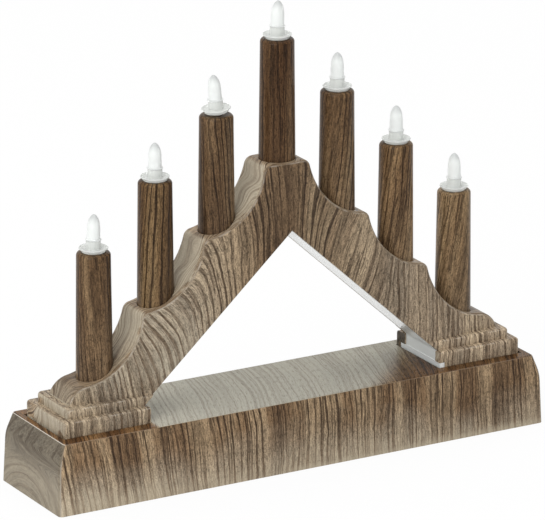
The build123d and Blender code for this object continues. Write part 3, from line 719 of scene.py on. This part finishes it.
def close_poles(mesh):
    """Merge the points that lie together on the axis, so that each pole is one point with triangles."""
    made = bmesh.new()
    made.from_mesh(mesh)
    bmesh.ops.remove_doubles(made, verts=made.verts, dist=merge_reach)
    bmesh.ops.recalc_face_normals(made, faces=made.faces)
    made.to_mesh(mesh)
    made.free()


def grid_piece(name, grids, body, joined=False):
    """One piece from grids of points in millimetres. Columns join round; rows join too, or end in poles."""
    corners, faces, first = [], [], 0
    for grid in grids:
        rows, steps = grid.shape[:2]
        i, j = np.meshgrid(np.arange(rows if joined else rows - 1), np.arange(steps), indexing="ij")
        next_i, next_j = (i + 1) % rows, (j + 1) % steps
        here, beside = i * steps + j, i * steps + next_j
        above, above_beside = next_i * steps + j, next_i * steps + next_j
        quads = np.stack([here, beside, above_beside, above], -1)
        corners.append(grid.reshape(-1, 3) / mm)
        faces.append(quads.reshape(-1, 4) + first)
        first += rows * steps
    mesh = bpy.data.meshes.new(name)
    mesh.from_pydata(np.concatenate(corners).tolist(), [], np.concatenate(faces).tolist())
    close_poles(mesh)
    mesh.polygons.foreach_set("use_smooth", np.ones(len(mesh.polygons), bool))
    mesh.set_sharp_from_angle(angle=smooth_angle)
    piece = bpy.data.objects.new(name, mesh)
    scene.collection.objects.link(piece)
    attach(piece, body)
    return piece


print("Grid pieces ready")

# %% Turned pieces


def turned_piece(name, profile, middle, lean_deg=0.0, pivot=0.0, lift=0.0, steps=56):
    """Carry a profile round Z: x = r cos t, y = r sin t, z = h, then lean it about Y at the pivot's height.

    The profile is a list of (r, h) in millimetres. Where its first and last points lie on the axis they
    become poles, and otherwise the last row joins the first.
    """
    radius, height = np.array(profile).T
    turn = np.linspace(0, 2 * np.pi, steps, endpoint=False)
    x = np.outer(radius, np.cos(turn))
    y = np.outer(radius, np.sin(turn))
    z = np.repeat(height[:, None] - pivot, steps, 1)
    lean = math.radians(lean_deg)
    across = x * math.cos(lean) + z * math.sin(lean)
    upward = z * math.cos(lean) - x * math.sin(lean) + pivot + lift
    points = np.stack([across, y, upward], -1) + np.array(middle) * mm
    has_poles = radius[0] == 0 and radius[-1] == 0
    return grid_piece(name, [points], "arch_body", joined=not has_poles)


def arc(middle, radius, start_deg, end_deg, count):
    """Points on an arc of a profile."""
    angle = np.radians(np.linspace(start_deg, end_deg, count))
    return [(middle[0] + radius * math.cos(a), middle[1] + radius * math.sin(a)) for a in angle]


print("Turned pieces ready")

# %% [markdown]
# The collar is a shallow clear dish with a rolled rim, a short neck for the flame and a stem that plugs into
# the candle. The flame stands straight for half its height and then closes to a blunt tip, and a thin ring
# marks its foot. It is hollow, so that the lamp has room inside. Each profile is a list of points, radius
# and height in millimetres above the candle's top, in the order in which a pencil would draw it.

# %% Profile of the collar
neck_top = 4.6
stem = [(1.8, -2.0), (2.2, -2.0), (2.2, 0.0)]
dish_below = [(4.55, 0.0)] + arc((4.6, 0.3), 0.3, -80, -25, 5) + [(5.45, 1.30)]
rolled_rim = arc((5.55, 1.45), 0.25, -30, 150, 9)
dish_above = [(4.6, 1.10), (3.7, 0.92)] + arc((3.3, 1.32), 0.4, -90, -180, 6)
neck = [(2.9, 3.2), (2.9, 4.45)] + arc((2.75, 4.45), 0.15, 0, 90, 4) + [(1.8, neck_top)]
collar_profile = stem + dish_below + rolled_rim + dish_above + neck
print("Collar profile:", len(collar_profile), "points")

# %% Profile of the flame
flame_foot = 5.2
flame_tall = 9.8
flame_wide = 2.62  # radius at the foot
flame_straight = 4.2  # a larger power keeps the flame straight for longer
flame_blunt = 0.68  # a smaller power gives a blunter tip
ring_height = 4.9
flame_bore = [(0, 11.6), (1.2, 11.3), (1.85, 10.4), (1.9, 9.0), (1.9, neck_top), (2.9, neck_top)]
flame_ring = arc((2.95, ring_height), 0.22, -70, 70, 7)
share = np.linspace(0, 1, 40)[1:-1]
flame_radius = flame_wide * (1 - share ** flame_straight) ** flame_blunt
flame_skin = list(zip(flame_radius, flame_foot + flame_tall * share))
flame_profile = flame_bore + flame_ring + [(flame_wide, flame_foot)] + flame_skin
flame_profile += [(0, flame_foot + flame_tall)]
print("Flame profile:", len(flame_profile), "points")

# %% [markdown]
# Clear and frosted plastic are the same stuff with a different skin: light goes through both, and roughness
# scatters it in the flame. The flame's colour turns greyer towards its tip, and a painted shade marks the
# thin ring at its foot. Faint flow marks vary the gloss of the collar.

# %% Clear and frosted plastic
plastic_index = 1.46
clear_finish, tree, shader = new_finish("clear_plastic")
flow = cloud(tree, zoomed(tree, object_place(tree), 900), 2.0)
clear = blend(tree, flow, shade(0.86, 0.88, 0.85), shade(0.91, 0.93, 0.90))
tree.links.new(clear, shader.inputs["Base Color"])
tree.links.new(remap(tree, flow, 0.3, 0.7, 0.16, 0.26), shader.inputs["Roughness"])
shader.inputs["Transmission Weight"].default_value = 0.35
shader.inputs["IOR"].default_value = plastic_index


def flame_finish(number, lift):
    """Frosted plastic with a painted shade on the ring at the foot and a greyer tip over the top third of
    one flame.
    """
    material, tree, shader = new_finish(f"frosted_plastic_{number}")
    place = object_place(tree)
    height = split(tree, zoomed(tree, place, mm))[2]
    height = calc(tree, "SUBTRACT", height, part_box(f"candle_{number}")[1].z * mm + lift)
    tip = remap(tree, height, 10.8, 15.0)
    from_ring = calc(tree, "ABSOLUTE", calc(tree, "SUBTRACT", height, ring_height))
    # painted shade on the ring at the flame's foot
    ring = remap(tree, from_ring, 0.10, 0.40, 0.45, 0.0)
    frost = cloud(tree, zoomed(tree, place, 1500), 3.0)
    milk = blend(tree, frost, shade(0.95, 0.98, 0.96), shade(0.97, 0.99, 0.97))
    grey = shade(0.62, 0.64, 0.63)
    tree.links.new(blend(tree, most(tree, tip, ring), milk, grey), shader.inputs["Base Color"])
    tree.links.new(remap(tree, frost, 0.3, 0.7, 0.34, 0.46), shader.inputs["Roughness"])
    shader.inputs["Transmission Weight"].default_value = 0.25
    shader.inputs["IOR"].default_value = plastic_index
    return material


print("Clear and frosted plastic ready")

# %% Collars and flames on the candles
collar_lean = {3: -5.0}  # degrees, by candle
collar_lift = {3: 1.0}  # millimetres, by candle
flame_lean = {1: 1.9, 3: -5.0, 4: 2.2}
for number in range(1, candle_count + 1):
    low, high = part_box(f"candle_{number}")
    middle = ((low.x + high.x) / 2, (low.y + high.y) / 2, high.z)
    lean, lift = collar_lean.get(number, 0.0), collar_lift.get(number, 0.0)
    collar = turned_piece(f"clear_collar_{number}", collar_profile, middle, lean, 0.0, lift)
    collar.data.materials.append(clear_finish)
    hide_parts(f"drip_collar_{number}")
    pivot = 0.0 if number in collar_lean else neck_top
    lean = flame_lean.get(number, 0.0)
    flame = turned_piece(f"frosted_flame_{number}", flame_profile, middle, lean, pivot, lift)
    flame.data.materials.append(flame_finish(number, lift))
    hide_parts(f"flame_cap_{number}")
print("Fittings:", candle_count, "collars and", candle_count, "flames")

# %% [markdown]
# ## Lamps and wires
# A small warm lamp sits in each flame, on two leads. The wires that feed them run inside the arch. Both are
# hardly seen, so a plain tinted plastic and a dark insulation with a little dust are enough.

# %% Lamps and wiring


def moulded(name, first, second, scale, rough, bump_strength=0.0):
    """Plain moulded plastic: two near colours in fine mottling, with uneven gloss and a light texture."""
    material, tree, shader = new_finish(name)
    mottle = cloud(tree, zoomed(tree, object_place(tree), scale), 4.0, 0.6)
    tree.links.new(blend(tree, remap(tree, mottle, 0.35, 0.65), first, second), shader.inputs["Base Color"])
    tree.links.new(remap(tree, mottle, 0.3, 0.7, rough - 0.06, rough + 0.06), shader.inputs["Roughness"])
    if bump_strength:
        bump = add_node(tree, "ShaderNodeBump",
                        {"Height": mottle, "Strength": bump_strength, "Distance": fine_bump})
        tree.links.new(bump.outputs[0], shader.inputs["Normal"])
    return material


lamp_finish = moulded("lamp_resin", shade(0.93, 0.88, 0.66), shade(0.96, 0.92, 0.74), 800, 0.16)
dress([f"led_{number}" for number in range(1, candle_count + 1)], lamp_finish)
wire_finish = moulded("wire_insulation", shade(0.05, 0.045, 0.04), shade(0.09, 0.08, 0.07), 600, 0.5)
dress(["wiring_harness"], wire_finish)

# %% [markdown]
# ## Underside
# The bottom cover, the battery door and the switch are not in the photograph. Such covers are moulded in
# plain dark plastic with a fine spark-eroded texture, so that scratches don't show, and a fine noise as bump
# gives that. The door has grip ribs beside its thumb groove. They are real forms, so they are rounded bars
# here: a section carried along Y, which shrinks to a point at both ends.

# %% Bottom cover, door and switch
cover_dark = shade(0.050, 0.036, 0.028)
cover_light = shade(0.075, 0.055, 0.043)
dress(["base_cover"], moulded("cover_plastic", cover_dark, cover_light, 2600, 0.55, 0.35))
door_finish = moulded("door_plastic", cover_dark, cover_light, 2600, 0.52, 0.35)
dress(["battery_door"], door_finish)
switch_finish = moulded("switch_plastic", shade(0.02, 0.02, 0.02), shade(0.035, 0.034, 0.033), 1500, 0.42)
dress(["switch_body"], switch_finish)
slider_finish = moulded("slider_plastic", shade(0.55, 0.55, 0.53), shade(0.62, 0.62, 0.60), 1500, 0.38, 0.2)
dress(["switch_slider"], slider_finish)

# %% Grip ribs on the door
rib_places = np.arange(12.4, 21.0, 1.6)  # along X
rib_half_length = 6.0
rib_half_width = 0.45
rib_half_height = 0.50
rib_sink = 0.1  # how far the bars' middle lies inside the door


def rib_grid(middle_x, door_face):
    """x = m + w f(u) cos v, y = l u, z = face + h f(u) sin v, with f(u) = sqrt(1 - u^8)."""
    along = np.sin(np.linspace(-np.pi / 2, np.pi / 2, 25))
    around = np.linspace(0, 2 * np.pi, 16, endpoint=False)
    full = np.sqrt(np.clip(1 - along ** 8, 0, 1))
    x = middle_x + rib_half_width * np.outer(full, np.cos(around))
    y = np.repeat(rib_half_length * along[:, None], len(around), 1)
    z = door_face + rib_half_height * np.outer(full, np.sin(around))
    return np.stack([x, y, z], -1)


door_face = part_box("battery_door")[0].z * mm + rib_sink
grip = grid_piece("door_grip", [rib_grid(place, door_face) for place in rib_places], "battery_door")
grip.data.materials.append(door_finish)
print("Door grip:", len(rib_places), "ribs")

# %% [markdown]
# ## Metal
# Screws, springs and contacts are plated steel with fine scratches. The cover's screws are seen from below,
# so they get their cross recess. A cross is a star shape: from its middle, each direction meets its outline
# once. So one grid of rings makes the whole screw, with rings that start as crosses and end as circles.

# %% Plated steel
steel_finish, tree, shader = new_finish("plated_steel")
scratch = cloud(tree, stretch(tree, object_place(tree), 900, 5000, 5000), 4.0, 0.6)
bright = blend(tree, scratch, shade(0.55, 0.54, 0.52), shade(0.74, 0.73, 0.70))
tree.links.new(bright, shader.inputs["Base Color"])
tree.links.new(remap(tree, scratch, 0.3, 0.7, 0.22, 0.40), shader.inputs["Roughness"])
shader.inputs["Metallic"].default_value = 1.0
dress(["arch_screws", "cover_screws", "contact_bridge", "contact_positive", "contact_negative",
       "contact_spring_1", "contact_spring_2"], steel_finish)

# %% Outline of a cross
cross_half_width = 0.32
cross_half_length = 1.45
tiny = 1e-6  # keeps the division below from dividing by zero


def cross_outline(turn):
    """Distance from the middle to a cross: in each arm, the nearer of its end and its side."""
    c = np.maximum(np.abs(np.cos(turn)), tiny)
    s = np.maximum(np.abs(np.sin(turn)), tiny)
    along_x = np.minimum(cross_half_length / c, cross_half_width / s)
    along_y = np.minimum(cross_half_width / c, cross_half_length / s)
    return np.maximum(along_x, along_y)


print("Cross", 2 * cross_half_length, "mm long,", 2 * cross_half_width, "mm wide")

# %% Cross-head screws of the cover
head_radius = 2.5
head_edge = 0.5
head_tall = 1.1
shank_radius = 1.1
point_tall = 1.2
recess_deep = 0.75  # at the middle of the cross
recess_floor = 0.62  # depth at the foot of its walls
floor_share = 0.7  # size of the cross there
bevel_tall = 0.07
bevel_wide = 0.06
screw_low, screw_high = [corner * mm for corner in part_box("cover_screws")]
face = screw_low.z


def screw_grid(x, y):
    """Rings about the axis, each a (share of the cross, extra radius, height). Both ends are poles."""
    bend = math.atan2(cross_half_width, cross_half_length)
    quarter = np.array([bend, math.pi / 4, math.pi / 2 - bend])
    turns = [np.linspace(0, 2 * np.pi, 48, endpoint=False)] + [quarter + k * math.pi / 2 for k in range(4)]
    turn = np.unique(np.round(np.concatenate(turns), 9))
    rings = [(0, 0, face + recess_deep), (floor_share, 0, face + recess_floor)]
    rings += [(1, 0, face + bevel_tall), (1, bevel_wide, face)]
    rings += [(0, r, h) for r, h in arc((head_radius - head_edge, face + head_edge), head_edge, -90, 0, 6)]
    rings += [(0, head_radius, face + head_tall), (0, shank_radius, face + head_tall)]
    rings += [(0, shank_radius, screw_high.z - point_tall), (0, 0, screw_high.z)]
    share, extra, height = np.array(rings).T
    radius = np.outer(share, cross_outline(turn)) + extra[:, None]
    upward = np.repeat(height[:, None], len(turn), 1)
    return np.stack([x + radius * np.cos(turn), y + radius * np.sin(turn), upward], -1)


head_x = screw_high.x - head_radius
head_y = screw_high.y - head_radius
screw_places = [(side * head_x, end * head_y) for side in (-1, 1) for end in (-1, 1)]
screws = grid_piece("cross_head_screws", [screw_grid(x, y) for x, y in screw_places], "arch_body")
screws.data.materials.append(steel_finish)
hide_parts("cover_screws")
print("Screws:", len(screw_places), "with", len(screws.data.polygons), "faces")

# %% [markdown]
# ## Cells and board
# These are only seen when the battery door is open, or not at all. The cells have a plain two-colour jacket
# with bare steel ends, and the board shows copper tracks under green lacquer. Bands across the resistors
# come from the fraction of the place along X.

# %% Cells


def cell_finish(name, nub_side):
    """A cell's jacket: dark body, brighter band near the nub's end, bare steel at both ends."""
    material, tree, shader = new_finish(name)
    x, y, z, (end, _, _) = place_mm(tree)
    along = times(tree, x, float(nub_side))
    foil = cloud(tree, vector(tree, times(tree, x, 0.3), y, z), 3.0)
    jacket = blend(tree, foil, shade(0.030, 0.034, 0.042), shade(0.050, 0.056, 0.068))
    band = blend(tree, foil, shade(0.50, 0.33, 0.12), shade(0.62, 0.42, 0.17))
    color = blend(tree, remap(tree, along, 12.0, 12.4), jacket, band)
    bare = remap(tree, end, 0.6, 0.8)
    tree.links.new(blend(tree, bare, color, shade(0.66, 0.65, 0.63)), shader.inputs["Base Color"])
    tree.links.new(times_plus(tree, bare, 0.5, 0.5), shader.inputs["Metallic"])
    tree.links.new(remap(tree, foil, 0.3, 0.7, 0.24, 0.34), shader.inputs["Roughness"])
    return material


dress(["battery_1"], cell_finish("cell_jacket_1", 1))
dress(["battery_2"], cell_finish("cell_jacket_2", -1))

# %% Board
track_gap = 2.4  # millimetres
board_finish, tree, shader = new_finish("board_lacquer")
x, y, z, (_, _, top) = place_mm(tree)
track = calc(tree, "ABSOLUTE", calc(tree, "SINE", times(tree, y, math.pi / track_gap)))
mottle = cloud(tree, vector(tree, x, y, z), 3.0)
lacquer = blend(tree, mottle, shade(0.015, 0.090, 0.040), shade(0.025, 0.130, 0.060))
on_track = times(tree, remap(tree, track, 0.80, 0.88), remap(tree, top, 0.7, 0.9))
tree.links.new(blend(tree, on_track, lacquer, shade(0.060, 0.210, 0.090)), shader.inputs["Base Color"])
tree.links.new(remap(tree, mottle, 0.3, 0.7, 0.28, 0.40), shader.inputs["Roughness"])
dress(["circuit_board"], board_finish)

# %% Resistors
bands_per_mm = 0.85
first_band = 2.0  # millimetres before the middle
resistor_finish, tree, shader = new_finish("resistor_lacquer")
x, y, z, _ = place_mm(tree)
low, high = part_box("board_resistors")
start = (low.x + high.x) / 2 * mm - first_band
phase = calc(tree, "FRACT", times(tree, calc(tree, "SUBTRACT", x, start), bands_per_mm))
on_band = times(tree, remap(tree, phase, 0.30, 0.34), remap(tree, phase, 0.62, 0.66, 1.0, 0.0))
mottle = cloud(tree, vector(tree, x, y, z), 3.0)
lacquer = blend(tree, mottle, shade(0.52, 0.38, 0.22), shade(0.60, 0.45, 0.28))
tree.links.new(blend(tree, on_band, lacquer, shade(0.18, 0.05, 0.03)), shader.inputs["Base Color"])
tree.links.new(remap(tree, mottle, 0.3, 0.7, 0.30, 0.42), shader.inputs["Roughness"])
dress(["board_resistors"], resistor_finish)
